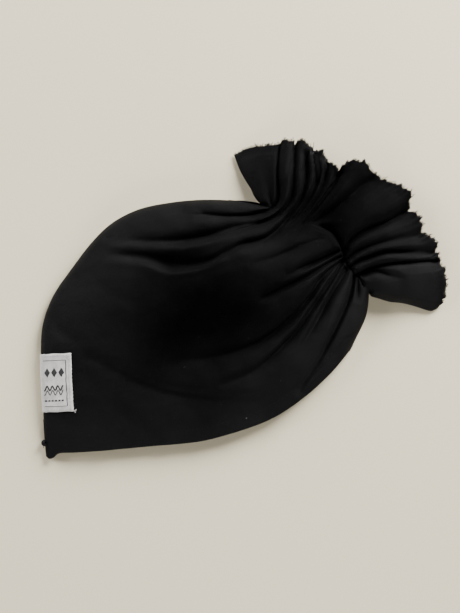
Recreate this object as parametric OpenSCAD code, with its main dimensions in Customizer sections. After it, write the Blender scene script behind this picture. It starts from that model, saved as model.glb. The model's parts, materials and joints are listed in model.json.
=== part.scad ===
// Small double-layer jersey hat, lying flat: two outer panels and a lining, gathered by wound
// elastic at the crown, with the cloth beyond the gather standing out as a pleated frill.
// The hat lies on the table, +Z up, its mouth along -Y and its gathered crown towards +X +Y.

/* [Cloth] */
// Thickness of one layer of jersey
cloth_t = 1.0; // [0.8:0.05:1.0]
// Air between two layers that lie on each other
layer_gap = 0.2; // [0.15:0.05:0.3]

/* [Hat] */
// Height of the front panel's top at the mouth edge
mouth_h = 12; // [11:0.5:14]
// Height of the puffed crown
puff_h = 18.5; // [15:0.5:22]
// Height that the gathered neck stands above the table
neck_h = 10; // [9.5:0.5:11]
// Width of the gathered neck
neck_w = 64; // [56:1:68]
// Pleats across the front of the neck
pleats = 9; // [6:1:9]

/* [Frill] */
// Reach of the frill as a share of its usual 50 mm
frill_reach = 1; // [0.7:0.05:1.1]
// Depth of the frill's waves at the raw edge
frill_wave = 2.4; // [1:0.2:3]

/* [Gather] */
// Diameter of the wound elastic
elastic_d = 1.2; // [0.8:0.1:1.3]
// Turns of elastic round the neck
elastic_turns = 3; // [1:1:3]

/* [Label and stitching] */
// Height of the woven label along the fold
label_h = 31; // [20:1:34]
// Width of each half of the folded label
label_w = 17.5; // [12:0.5:20]
// Thickness of the label ribbon
label_t = 0.35; // [0.25:0.05:0.4]
// Diameter of the sewing thread
thread_d = 0.4; // [0.3:0.05:0.5]
// Distance from the mouth edge to its topstitching
hem_w = 7; // [5:0.5:9]
// Diameter of the ball of thread that ends the left seam
end_knot_d = 4; // [3:0.5:5]

/* [Hidden] */

layer = cloth_t + layer_gap;            // height of one layer and the air above it
$fn = 32;

// The neck's own frame: a runs along the gather, s runs across it, positive towards the frill
neck_centre = [42.5, 30];
neck_turn = -42;
neck_along = [cos(neck_turn), sin(neck_turn)];
neck_out = [-sin(neck_turn), cos(neck_turn)];
sleeve_l = 6;                           // straight stretch of cloth that passes the elastic
hat_end = -0.5;                         // where the hat's panels stop, just short of the hinge line
frill_start = 0.4;                      // where the frill's panels start, just beyond it
lift_h = elastic_d + 0.4;               // the neck's underside clears the elastic below it
lift_run = 8;                           // length of the slope that leads up to that height
neck_top = neck_h - 0.2;
pleat_h = 1.5;                          // depth of the pleats at the neck
puff_at = 0.7;                          // share of the way from the mouth where the crown is full
neck_flat = 5;                          // the crown is down at the neck's height this far from it
neck_fall = 25;                         // and falls to it over this length
fold_roll = 0.4;                        // power that rolls the cloth over at the side folds
root_wave = 0.6;                        // depth of the frill's waves at the gather
frill_swell = 7;                        // rise of the frill beyond the gather
frill_droop = 6;                        // and its fall towards the raw edge
fold_cols = 3;                          // the hat's lining starts this many columns in from the fold
frill_cols = 2;                         // the same on the frill

// Outline of the hat, at equal steps along each edge
mouth_left = [-105, -85.6];
mouth_right = [53, -25];
left_edge = [mouth_left, [-107.3, -58], [-108, -32], [-104, -4], [-89, 19], [-71, 39],
             [-47, 51], [-20, 54], [3, 53], neck_point(-neck_w / 2, -sleeve_l)];
right_edge = [mouth_right, [58.5, -15], [62.5, -4], neck_point(neck_w / 2, -sleeve_l)];
mouth_edge = [mouth_left, [-87, -80.5], [-68, -79.5], [-48, -77.5], [-28, -75], [-8, -70.5],
              [10, -63.5], [26, -52.5], [41, -39], mouth_right];

// Raw edge of the frill in the neck's frame, lobe by lobe from left to right
frill_edge = [[-66, 7], [-60, 19], [-52, 28], [-46, 29], [-41, 33], [-34, 35], [-27, 33],
              [-21, 36], [-15, 45], [-5, 46], [6, 50], [17, 50.5], [22, 43], [28, 45],
              [36, 40], [44, 41.5], [50, 35.5], [58, 32.5], [67.4, 25.6], [68, 14]];

// Overlocked allowances beside the side folds: shares of the hat's width in from the fold
outer_seam = [0.012, 0.024];
lining_seam = [0.042, 0.060];
seam_start = 0.012;                     // shares of the way from the mouth to the neck
left_seam_end = 0.84;
right_seam_end = 0.5;
seam_t = 0.8 * cloth_t;

// Stitches
stitch = 2.2;                           // length of one stitch
stitch_pitch = 3.2;
stitch_rise = thread_d / 2 + 0.05;      // the thread's middle above the cloth
mouth_l = 176;                          // length of the mouth edge, one side
hem_first = 0.075;                      // share of the mouth edge before the first stitch
hem_stitches = floor(0.85 * mouth_l / stitch_pitch);

// Woven label
label_v = 0.148;                        // the label's middle along the left edge
left_l = 234;                           // the left edge's rate of length along v
label_under = label_t + 0.05;           // height of the back half's inner face
label_air = 0.12;                       // between the label and the cloth it lies on
label_ks = [0.4, 1.2, 2.6, 4.5, 7, 10, 13.5, label_w];
label_margin = 1.2;                     // from the label's edge to its stitches
label_thread = 0.7 * thread_d;

// Elastic and the ball of thread
table_air = 0.1;                        // between the elastic and the table
first_turn = 1.2;                       // from the hinge line to the first turn's middle
turn_air = 0.05;                        // between two turns
knot_at = [-107.75, -77.4];

// Grid of the curved sheets: closer steps where the cloth rolls over at the side folds
hat_u = concat([0, 0.004, 0.014], [for (i = [1:35]) i / 36], [0.986, 0.996, 1]);
hat_v = [for (i = [0:16]) 1 - pow(1 - i / 16, 1.3)];
sleeve_v = [1.5, 2];
front_end = 0.97;                       // the front sheets stop at this share of the back's reach
frill_t = [for (i = [0:7]) front_end * i / 7];
frill_w = [for (i = [0:36]) i / 36];

function lerp(a, b, t) = a + (b - a) * t;
function ease(t) = (1 - cos(180 * min(1, max(0, t)))) / 2;
function within(t) = min(1, max(0, t));
function neck_point(a, s) = neck_centre + a * neck_along + s * neck_out;
function neck_s(p) = (p - neck_centre) * neck_out;
function inner(list, by) = [for (i = [by:len(list) - 1 - by]) list[i]];

// Point at t, from 0 to 1, on the smooth curve through the points p
function curve(p, t) =
    let (n = len(p) - 1, k = max(0, min(n - 1, floor(t * n))), f = t * n - k,
         a = p[max(0, k - 1)], b = p[k], c = p[k + 1], d = p[min(n, k + 2)])
    0.5 * (2 * b + (c - a) * f + (2 * a - 5 * b + 4 * c - d) * f * f
           + (3 * b - a - 3 * c + d) * f * f * f);

// Plan position on the hat: u across from left to right, v from the mouth to the neck,
// and beyond 1 along the straight sleeve
function patch(u, v) =
    v > 1
    ? neck_point(lerp(-neck_w / 2, neck_w / 2, u), lerp(-sleeve_l, hat_end, v - 1))
    : let (left = curve(left_edge, v), right = curve(right_edge, v),
           mouth = curve(mouth_edge, u), neck = neck_point((u - 0.5) * neck_w, -sleeve_l),
           corners = lerp(lerp(mouth_left, mouth_right, u), neck, v))
      lerp(left, right, u) + lerp(mouth, neck, v) - corners;

// Height that the underside is lifted near the neck, on either side of the elastic
function lift(s) = lift_h * within((sleeve_l + lift_run - abs(s)) / lift_run);

// Crown height from the mouth to the puff, and down again to the neck
function crown(v, s) =
    min(lerp(mouth_h, puff_h, ease(v / puff_at)),
        lerp(neck_top, puff_h, ease((-s - neck_flat) / neck_fall)));

// Top of the front outer panel
function hat_top(u, v) =
    let (s = neck_s(patch(u, v)), rim = layer + cloth_t + lift(s), side = sin(180 * u),
         fold = pow(side, fold_roll), near = within(1 + (s + neck_flat) / neck_fall))
    rim + (crown(v, s) - rim) * fold
    - pleat_h * near * side * (1 - cos(360 * pleats * u)) / 2;

function hat_point(u, v, drop) = let (p = patch(u, v)) [p.x, p.y, hat_top(u, v) - drop];
function hat_width(v) = norm(patch(1, v) - patch(0, v));
function hem_v(u, d) = d / norm(patch(u, 1) - patch(u, 0));

// Plan position on the frill: w across from left to right, t from the neck to the raw edge
function frill_plan(w, t) =
    let (root = [(w - 0.5) * neck_w, frill_start], edge = curve(frill_edge, w),
         p = lerp(root, [edge.x, frill_start + (edge.y - frill_start) * frill_reach], t))
    neck_point(p.x, p.y);

// Top of the front outer frill: it swells a little and droops at the raw edge
function frill_top(w, t) =
    let (s = neck_s(frill_plan(w, t)), rim = layer + cloth_t + lift(s),
         fold = pow(sin(180 * w), fold_roll), depth = lerp(root_wave, frill_wave, t),
         base = neck_top - depth + frill_swell * t - frill_droop * t * t)
    rim + (base - rim) * fold + depth * cos(360 * pleats * w) * sin(180 * w);

function frill_point(w, t, drop) =
    let (p = frill_plan(w, t)) [p.x, p.y, frill_top(w, t) - drop];

// Closed sheet between two grids of points, rows from low v to high v
module sheet(high, low) {
    rows = len(high);
    cols = len(high[0]);
    n = rows * cols;
    cells = [for (i = [0:rows - 2]) for (j = [0:cols - 2]) [i * cols + j, (i + 1) * cols + j]];
    rim = concat([for (j = [0:cols - 1]) j], [for (i = [1:rows - 1]) i * cols + cols - 1],
                 [for (j = [cols - 2:-1:0]) (rows - 1) * cols + j],
                 [for (i = [rows - 2:-1:1]) i * cols]);
    polyhedron(
        points = concat([for (row = high) each row], [for (row = low) each row]),
        faces = concat(
            [for (c = cells) [c[0], c[1], c[1] + 1]],
            [for (c = cells) [c[0], c[1] + 1, c[0] + 1]],
            [for (c = cells) [n + c[0], n + c[1] + 1, n + c[1]]],
            [for (c = cells) [n + c[0], n + c[0] + 1, n + c[1] + 1]],
            [for (k = [0:len(rim) - 1])
                let (a = rim[k], b = rim[(k + 1) % len(rim)]) [a, b, n + b]],
            [for (k = [0:len(rim) - 1])
                let (a = rim[k], b = rim[(k + 1) % len(rim)]) [a, n + b, n + a]]),
        convexity = 6);
}

// Curved sheet of the hat, its top a given drop below the outer panel's top
module hat_sheet(us, vs, drop) {
    sheet([for (v = vs) [for (u = us) hat_point(u, v, drop)]],
          [for (v = vs) [for (u = us) hat_point(u, v, drop + cloth_t)]]);
}

module frill_sheet(ws, ts, drop) {
    sheet([for (t = ts) [for (w = ws) frill_point(w, t, drop)]],
          [for (t = ts) [for (w = ws) frill_point(w, t, drop + cloth_t)]]);
}

// Outline of the hat between two positions across, from the mouth to the neck
module hat_outline(u0, v0, end_v) {
    across = 30;
    up = 40;
    sides = [for (i = [0:up]) lerp(v0, 1, i / up)];
    polygon(concat([for (i = [0:across]) patch(lerp(u0, 1 - u0, i / across), v0)],
                   [for (v = sides) patch(1 - u0, v)], [patch(1 - u0, end_v)],
                   [patch(u0, end_v)], [for (i = [up:-1:1]) patch(u0, sides[i])]));
}

module frill_outline(w0, t1) {
    steps = 76;
    polygon(concat([frill_plan(w0, 0)],
                   [for (i = [0:steps]) frill_plan(lerp(w0, 1 - w0, i / steps), t1)],
                   [frill_plan(1 - w0, 0)]));
}

// Flat layer of cloth with the given height of its underside, lifted over the elastic near the
// neck: one bent profile in the neck's frame, pushed along the gather and cut to the outline
module bent_layer(under) {
    flat_to = sleeve_l + lift_run;
    reach = 260;
    tall = 20;
    top = under + cloth_t;
    intersection() {
        linear_extrude(height = tall) children();
        translate(neck_centre) rotate([0, 0, neck_turn]) rotate([90, 0, -90])
            translate([0, 0, -reach / 2]) linear_extrude(height = reach)
                polygon([[reach, under], [flat_to, under], [sleeve_l, under + lift_h],
                         [-sleeve_l, under + lift_h], [-flat_to, under], [-reach, under],
                         [-reach, top], [-flat_to, top], [-sleeve_l, top + lift_h],
                         [sleeve_l, top + lift_h], [flat_to, top], [reach, top]]);
    }
}

// Thread or cord, a round bar from one point to another
module bar(from, to, d) {
    way = to - from;
    translate(from) rotate([0, acos(way.z / norm(way)), atan2(way.y, way.x)])
        cylinder(h = norm(way), d = d, $fn = 24);
}

// Strip of turned-in seam allowance beside a fold, flat on the layer below it
module seam_strip(u0, u1, under, v1) {
    steps = 24;
    translate([0, 0, under]) linear_extrude(height = seam_t)
        polygon(concat([for (i = [0:steps]) patch(u0, lerp(seam_start, v1, i / steps))],
                       [for (i = [steps:-1:0]) patch(u1, lerp(seam_start, v1, i / steps))]));
}

module outer_front_panel() {
    color("#1c1c1d") hat_sheet(hat_u, concat(hat_v, sleeve_v), 0);
}

// The lower panel lies flat, with the label's back half pressed into its underside
module outer_back_panel() {
    seat = label_t + 0.15;
    gap = 0.4;
    outside = -3;
    color("#161617") difference() {
        bent_layer(0) hat_outline(0, 0, 2);
        translate([0, 0, -1]) linear_extrude(height = 1 + seat)
            polygon([for (c = [[outside, 1], [label_w + gap, 1], [label_w + gap, -1], [outside, -1]])
                label_plan(c.x, c.y * (label_h / 2 + gap))]);
    }
}

module lining_front_panel() {
    color("#232325") hat_sheet(inner(hat_u, fold_cols), concat(hat_v, sleeve_v), layer);
}

module lining_back_panel() {
    color("#232325") bent_layer(layer) hat_outline(hat_u[fold_cols], 0, 2);
}

module outer_left_seam() {
    color("#2a2a2c") seam_strip(outer_seam[0], outer_seam[1], layer, left_seam_end);
}

module outer_right_seam() {
    color("#2a2a2c") seam_strip(1 - outer_seam[0], 1 - outer_seam[1], layer, right_seam_end);
}

module lining_left_seam() {
    color("#303033")
        seam_strip(lining_seam[0], lining_seam[1], 2 * layer, left_seam_end);
}

module lining_right_seam() {
    color("#303033")
        seam_strip(1 - lining_seam[0], 1 - lining_seam[1], 2 * layer, right_seam_end);
}

// Topstitching along the mouth: short bars of thread, a stitch and a gap at a time
function hem_u(i) = hem_first + i * stitch_pitch / mouth_l;
function on_front(u) = hat_point(u, hem_v(u, hem_w), -stitch_rise);
function on_lining(u) =
    let (p = patch(u, hem_v(u, hem_w))) [p.x, p.y, layer + cloth_t + stitch_rise];

module hem_stitching_front() {
    color("#101011") for (i = [0:hem_stitches - 1])
        bar(on_front(hem_u(i)), on_front(hem_u(i) + stitch / mouth_l), thread_d);
}

module hem_stitching_back() {
    color("#101011") for (i = [0:hem_stitches - 1])
        bar(on_lining(hem_u(i)), on_lining(hem_u(i) + stitch / mouth_l), thread_d);
}

// Elastic cord wound side by side round the neck, each turn a closed loop with round ends
module gather_elastic() {
    r = (neck_top + elastic_d + 2 * table_air) / 2;
    half = neck_w / 2 - 1;
    color("#0d0d0e") translate([neck_centre.x, neck_centre.y, table_air + r])
        rotate([0, 0, neck_turn])
            for (i = [0:elastic_turns - 1])
                translate([0, -first_turn - i * (elastic_d + turn_air), 0]) rotate([90, 0, 0]) {
                    for (side = [-1, 1]) translate([side * half, 0, 0])
                        rotate([0, 0, side * 90 - 180]) rotate_extrude(angle = 180)
                            translate([r - elastic_d / 2, 0]) circle(d = elastic_d);
                    for (side = [-1, 1])
                        translate([-half, side * (r - elastic_d / 2), 0])
                            rotate([0, 90, 0]) cylinder(h = 2 * half, d = elastic_d);
                }
}

// The woven label, folded over the left edge: k runs inward from the fold, y along it
function label_v_at(y) = label_v + y / left_l;
function label_plan(k, y) = patch(k / hat_width(label_v_at(y)), label_v_at(y));

// The label's inner face: in from the back half's edge, round the fold and over the front
function label_path(y) = concat(
    [[label_w, label_under], [9, label_under], [0.3, label_under],
     [-0.25, label_under + 0.15], [-0.35, 1.8]],
    [for (k = label_ks)
        [k, hat_top(k / hat_width(label_v_at(y)), label_v_at(y)) + label_air]]);
function path_normal(p, i) =
    let (way = p[min(len(p) - 1, i + 1)] - p[max(0, i - 1)]) [-way.y, way.x] / norm(way);
function label_row(y, out) =
    let (path = label_path(y))
    [for (i = [0:len(path) - 1])
        let (q = path[i] + path_normal(path, i) * out, p = label_plan(q.x, y))
        [p.x, p.y, q.y]];

module woven_label() {
    rows = [for (i = [0:4]) (i / 4 - 0.5) * label_h];
    color("#dcdad6") sheet([for (y = rows) label_row(y, label_t)],
                           [for (y = rows) label_row(y, 0)]);
}

// Running stitches round the three free edges of the label's front half
function on_label(k, y) =
    let (p = label_plan(k, y),
         z = hat_top(k / hat_width(label_v_at(y)), label_v_at(y)))
    [p.x, p.y, z + label_air + label_t + stitch_rise + 0.1];

module label_stitching() {
    along = 9;
    across = 5;
    color("#c9c7c2") {
        for (i = [0:along - 1])
            let (y = lerp(-label_h / 2 + label_margin, label_h / 2 - label_margin - stitch, i / (along - 1)))
                bar(on_label(label_w - label_margin, y), on_label(label_w - label_margin, y + stitch),
                    label_thread);
        for (side = [-1, 1]) for (i = [0:across - 1])
            let (k = lerp(2.5, label_w - label_margin - 2 * stitch, i / (across - 1)),
                 y = side * (label_h / 2 - label_margin / 2))
                bar(on_label(k, y), on_label(k + stitch, y), label_thread);
    }
}

// Ball of thread that ends the left side seam, just outside the fold above the mouth corner
module seam_end_knot() {
    color("#141415") {
        translate([knot_at.x, knot_at.y, end_knot_d / 2 + 0.2]) sphere(d = end_knot_d);
    }
}

module frill_outer_front() {
    color("#1e1e20") frill_sheet(frill_w, frill_t, 0);
}

module frill_lining_front() {
    color("#28282b") frill_sheet(inner(frill_w, frill_cols), [for (i = [0:6]) frill_t[i]], layer);
}

module frill_lining_back() {
    color("#28282b") bent_layer(layer) frill_outline(frill_w[frill_cols], front_end);
}

module frill_outer_back() {
    color("#19191a") bent_layer(0) frill_outline(0, 1);
}

outer_front_panel();
outer_back_panel();
lining_front_panel();
lining_back_panel();
outer_left_seam();
outer_right_seam();
lining_left_seam();
lining_right_seam();
hem_stitching_front();
hem_stitching_back();
gather_elastic();
woven_label();
label_stitching();
seam_end_knot();
frill_outer_front();
frill_lining_front();
frill_lining_back();
frill_outer_back();
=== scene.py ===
import json
import math
import bpy
import numpy as np
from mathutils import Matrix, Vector


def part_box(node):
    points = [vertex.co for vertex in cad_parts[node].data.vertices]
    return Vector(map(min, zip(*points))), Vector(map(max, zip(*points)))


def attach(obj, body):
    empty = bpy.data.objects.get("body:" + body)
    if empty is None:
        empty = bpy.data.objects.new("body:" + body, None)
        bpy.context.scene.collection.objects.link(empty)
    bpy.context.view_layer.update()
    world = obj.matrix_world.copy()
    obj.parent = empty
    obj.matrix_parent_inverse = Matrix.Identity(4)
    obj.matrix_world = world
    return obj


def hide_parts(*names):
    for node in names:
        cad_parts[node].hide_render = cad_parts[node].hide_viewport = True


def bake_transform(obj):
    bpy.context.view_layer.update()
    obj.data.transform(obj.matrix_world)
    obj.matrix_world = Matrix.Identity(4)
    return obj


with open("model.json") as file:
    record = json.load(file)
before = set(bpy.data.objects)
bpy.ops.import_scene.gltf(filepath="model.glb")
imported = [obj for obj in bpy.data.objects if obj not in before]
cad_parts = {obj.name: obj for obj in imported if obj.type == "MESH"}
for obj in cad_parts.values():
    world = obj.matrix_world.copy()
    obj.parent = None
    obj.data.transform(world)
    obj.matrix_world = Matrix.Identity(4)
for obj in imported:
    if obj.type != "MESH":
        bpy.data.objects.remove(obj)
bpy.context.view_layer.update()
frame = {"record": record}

# Small double-layer jersey hat lying flat, gathered at the crown, with a raw-edged frill.
# Meshes are worked out in millimetres in the frame's axes and scaled once, in piece(). Materials,
# lights and the camera are in metres.

MM = 0.001
rng = np.random.default_rng(11)
CLOTH = 0.75            # thickness of one layer of jersey
GRID = 1.0      # fineness of the cloths' grids

# ---- the neck's own frame
joint = frame["record"]["behaviour"]["joints"][0]
NECK = np.array(joint["pos_m"][:2]) / MM
ALONG = np.array(joint["axis"][:2])
OUT = np.array([-ALONG[1], ALONG[0]])


def neck_point(a, s):
    return NECK + np.outer(a, ALONG) + np.outer(s, OUT)


def neck_coords(xy):
    d = xy - NECK
    return d @ ALONG, d @ OUT


# ---- curves
def smooth_line(points, per_span=12):
    """Catmull-Rom curve through rows of any width."""
    p = np.array(points, float)
    q = np.vstack([2 * p[0] - p[1], p, 2 * p[-1] - p[-2]])
    f = np.linspace(0, 1, per_span, endpoint=False)[:, None]
    spans = []
    for k in range(len(p) - 1):
        a, b, c, d = q[k:k + 4]
        spans.append(0.5 * (2 * b + (c - a) * f + (2 * a - 5 * b + 4 * c - d) * f ** 2
                            + (3 * b - a - 3 * c + d) * f ** 3))
    spans.append(p[-1:])
    return np.vstack(spans)


def unit(v):
    return v / np.maximum(np.linalg.norm(v, axis=-1, keepdims=True), 1e-9)


def left_of(line):
    """Unit vectors square to a plane curve at its points, on its left."""
    way = unit(np.gradient(line, axis=0))
    return np.stack([-way[:, 1], way[:, 0]], -1)


def heading(angle):
    """Unit vector at an angle, and the one square to it on its left."""
    x, y = math.cos(angle), math.sin(angle)
    return np.array([x, y]), np.array([-y, x])


def along_line(line):
    """Distance along a line of points from its start to each of them."""
    step = np.linalg.norm(np.diff(line, axis=0), axis=1)
    return np.concatenate([[0], np.cumsum(step)])


def at_value(line, t):
    """Points of a curve whose first column is its parameter."""
    key = np.maximum.accumulate(line[:, 0])
    return np.stack([np.interp(t, key, line[:, k]) for k in range(1, line.shape[1])], -1)


def at_share(line, t):
    """Points at the shares t of the curve's length."""
    run = along_line(line)
    return at_value(np.column_stack([run / run[-1], line]), t)


def nearest(points, line):
    """Distance to a polyline, the share of the way along it, and which side (+1 is its left)."""
    a = line[:-1]
    d = np.diff(line, axis=0)
    start = along_line(line)
    size = np.diff(start)
    best = np.full(len(points), 1e9)
    share = np.zeros(len(points))
    side = np.ones(len(points))
    for k in range(len(a)):
        r = points - a[k]
        t = np.clip(r @ d[k] / max(size[k] ** 2, 1e-9), 0, 1)
        off = r - t[:, None] * d[k]
        dist = (off ** 2).sum(1)
        won = dist < best
        best[won] = dist[won]
        share[won] = start[k] + t[won] * size[k]
        side[won] = np.sign(d[k][0] * r[won, 1] - d[k][1] * r[won, 0])
    return np.sqrt(best), share / start[-1], side


def ellipse(x):
    """Quarter of an ellipse, from 0 to 1."""
    return np.sqrt(1 - (1 - np.clip(x, 0, 1)) ** 2)


def smooth(x):
    """Soft step from 0 to 1."""
    x = np.clip(x, 0, 1)
    return x * x * (3 - 2 * x)


# ---- outlines
MOUTH_LEFT = (-106.8, -85)
MOUTH_RIGHT = (57.7, -27)
NECK_LEFT = (12.5, 50.6)
NECK_RIGHT = (68, 5)
hat_left = smooth_line([MOUTH_LEFT, (-107.6, -76), (-108.6, -60), (-109.5, -45), (-109.8, -30),
                        (-108.8, -13.5), (-103.1, 2.3), (-92.2, 18.2), (-81.1, 32.4), (-70.3, 42.3),
                        (-56, 49.3), (-39.5, 52.7), (-23, 54.2), (-5, 53.7), (7, 51.7), NECK_LEFT])
hat_right = smooth_line([MOUTH_RIGHT, (60.4, -22), (66.4, -8.5), NECK_RIGHT])
hem = smooth_line([MOUTH_LEFT, (-105, -86.1), (-102.6, -85.2), (-99.5, -83), (-90.5, -82.4),
                   (-77.5, -81.5), (-50.5, -79), (-23.5, -76.3), (-2, -70.6), (15.6, -63.9),
                   (33.4, -52.1), (47.8, -38.9), MOUTH_RIGHT])
# the gather line: share across, then place in the neck's frame
gather = smooth_line([(0, -36.1, -4.8), (0.03, -34, -3.2), (0.14, -26.4, -3.3),
                      (0.18, -23.2, -0.4), (0.32, -13.3, 2), (0.43, -5.9, 5), (0.545, 2.3, 7.1),
                      (0.65, 9.5, 4.4), (0.765, 17.7, 0.9), (0.875, 25.4, 0), (1, 34.3, -3.2)])
frill_left = smooth_line([NECK_LEFT, (9, 52), (5.5, 56.5), (4, 60), (1.5, 64), (-2, 70.5),
                          (-4.5, 77), (-5, 78.5)])
frill_right = smooth_line([NECK_RIGHT, (68.6, 2.3), (73.5, 0.6), (79, -1), (85.5, -1.7),
                           (92, -3.2), (98.5, -5.2), (101.7, -6), (104, -5.2)])
# raw edges of the frill, lobe by lobe: share across, then the place
front_edge = smooth_line([
    (0, -5, 78.5), (0.008, 2.5, 81.8), (0.016, 10, 83.4), (0.028, 17, 83.5), (0.035, 19.5, 83.5),
    (0.045, 20, 85), (0.06, 21.5, 85.8), (0.08, 24, 85.8), (0.095, 26.5, 84.5), (0.1, 27.5, 82),
    (0.108, 28.5, 84.5), (0.125, 31, 85.5), (0.14, 34, 84.3), (0.15, 35.6, 81.5),
    (0.158, 36, 78.5), (0.17, 38, 79.3), (0.185, 40.6, 80), (0.195, 43, 78), (0.205, 43.8, 75),
    (0.22, 46, 74.2), (0.24, 48.6, 72), (0.258, 50, 69), (0.272, 50.8, 67.5), (0.285, 51.6, 69.5),
    (0.3, 53, 71.5), (0.32, 56.5, 74), (0.335, 60.5, 74.5),
    (0.35, 65.3, 73.2), (0.375, 70, 67.5), (0.42, 76, 63.6), (0.48, 82, 61.4), (0.53, 87, 59),
    (0.555, 89.5, 56), (0.57, 88.5, 51.5), (0.585, 88, 48.5), (0.61, 90, 47), (0.63, 93, 46),
    (0.66, 95, 42), (0.7, 96, 36), (0.74, 100.5, 33.5), (0.76, 103.5, 31.5), (0.78, 103.5, 26),
    (0.82, 105, 23.5), (0.87, 106, 20), (0.9, 108, 16.5), (0.93, 109, 11), (0.96, 109, 5.5),
    (0.985, 108, -0.5), (1, 104, -5.2)])
back_edge = smooth_line([
    (0, -5, 78.5), (0.03, 6, 80.5), (0.06, 18, 81.5), (0.09, 26, 82), (0.12, 31.5, 83),
    (0.15, 35, 83.3), (0.18, 38.5, 80.5), (0.205, 42, 80.3), (0.225, 44, 76.5),
    (0.25, 46.5, 73), (0.28, 50, 71.5), (0.3, 52, 68.5), (0.34, 58, 72.5), (0.38, 65, 70),
    (0.43, 73, 63), (0.5, 82, 60),
    (0.55, 86.5, 55), (0.59, 85, 48), (0.64, 91.5, 44), (0.7, 93, 36), (0.75, 99.5, 30.5),
    (0.8, 100, 25), (0.87, 103, 18), (0.93, 106, 10), (0.97, 106.5, 2), (1, 104, -5.2)])
side_left = np.vstack([hat_left, frill_left[1:]])
side_right = np.vstack([hat_right, frill_right[1:]])


def side_distance(xy):
    """Distance to the sewn side edges, where the two panels meet."""
    return np.minimum(nearest(xy, side_left)[0], nearest(xy, side_right)[0])


# ---- height of the front panel
# Height of the cloth's outer face without its folds, at chosen places
ENVELOPE = np.array([
    (-103, -83, 4.5), (-104, -45, 6.5), (-104, -15, 6.5), (-88, 15, 8), (-68, 36, 9.5),
    (-40, 47, 11), (-8, 49, 12), (10, 46, 12), (-77, -76, 6.2), (-48, -73, 7),
    (-20, -70, 7.8), (5, -61, 8.2), (28, -46, 8.2), (45, -29, 7.8), (54, -15, 8.8),
    (62, 2, 10), (-80, -55, 8), (-75, -20, 10.5), (-60, 15, 13.5), (-35, 25, 17),
    (-10, 30, 17), (10, 33, 16.2), (-50, -5, 14.5), (-20, 5, 17), (10, 12, 17.8), (30, 20, 17),
    (42, 30, 15.6), (-25, -27, 12), (5, -21, 13), (-50, -33, 10.8), (28, -12, 14.2),
    (-7, -40, 13.4), (20, -35, 12.6), (-35, -50, 11), (-60, -50, 9.2), (17, 49, 12), (25, 45, 12),
    (34, 40, 12.5), (47, 33, 13.6), (53, 25, 12.5), (57, 17, 12), (63, 8, 11), (5, 75, 4.5),
    (-3, 77, 2.5), (10, 62, 7.5), (12, 82, 4.5), (22, 84, 8), (31, 84, 8.5), (24, 65, 11.5),
    (31, 60, 12), (37, 66, 11), (44, 62, 11.5), (40.5, 78, 12), (48, 72, 12), (55, 70, 10.5),
    (62, 73, 10.5), (52, 55, 14.5),
    (75, 60, 13.8), (85, 55, 12.4), (65, 45, 14), (88, 42, 11.2), (93, 44, 10.5), (98, 32, 9),
    (80, 35, 13.5), (100, 23, 8), (100, 12, 8), (107, 5, 5), (85, 8, 10.5), (100, -2, 4),
    (75, 8, 11.5)], float)


def plate_kernel(r):
    return np.where(r > 0, r ** 2 * np.log(np.maximum(r, 1e-9)), 0)


PLATE_SOFTNESS = 20.0


def fit_plate(places, heights):
    """Thin-plate spline near the heights: weights of the places, then a level plane."""
    n = len(places)
    gap = np.linalg.norm(places[:, None] - places[None], axis=2)
    flat = np.hstack([np.ones((n, 1)), places])
    bend = plate_kernel(gap) + PLATE_SOFTNESS * np.eye(n)
    left = np.block([[bend, flat], [flat.T, np.zeros((3, 3))]])
    return np.linalg.solve(left, np.concatenate([heights, np.zeros(3)]))


plate = fit_plate(ENVELOPE[:, :2], ENVELOPE[:, 2])


def envelope(xy):
    """Height of the front without its folds."""
    out = plate[-3] + xy @ plate[-2:]
    for place, weight in zip(ENVELOPE[:, :2], plate[:-3]):
        out += weight * plate_kernel(np.linalg.norm(xy - place, axis=1))
    return out


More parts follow.
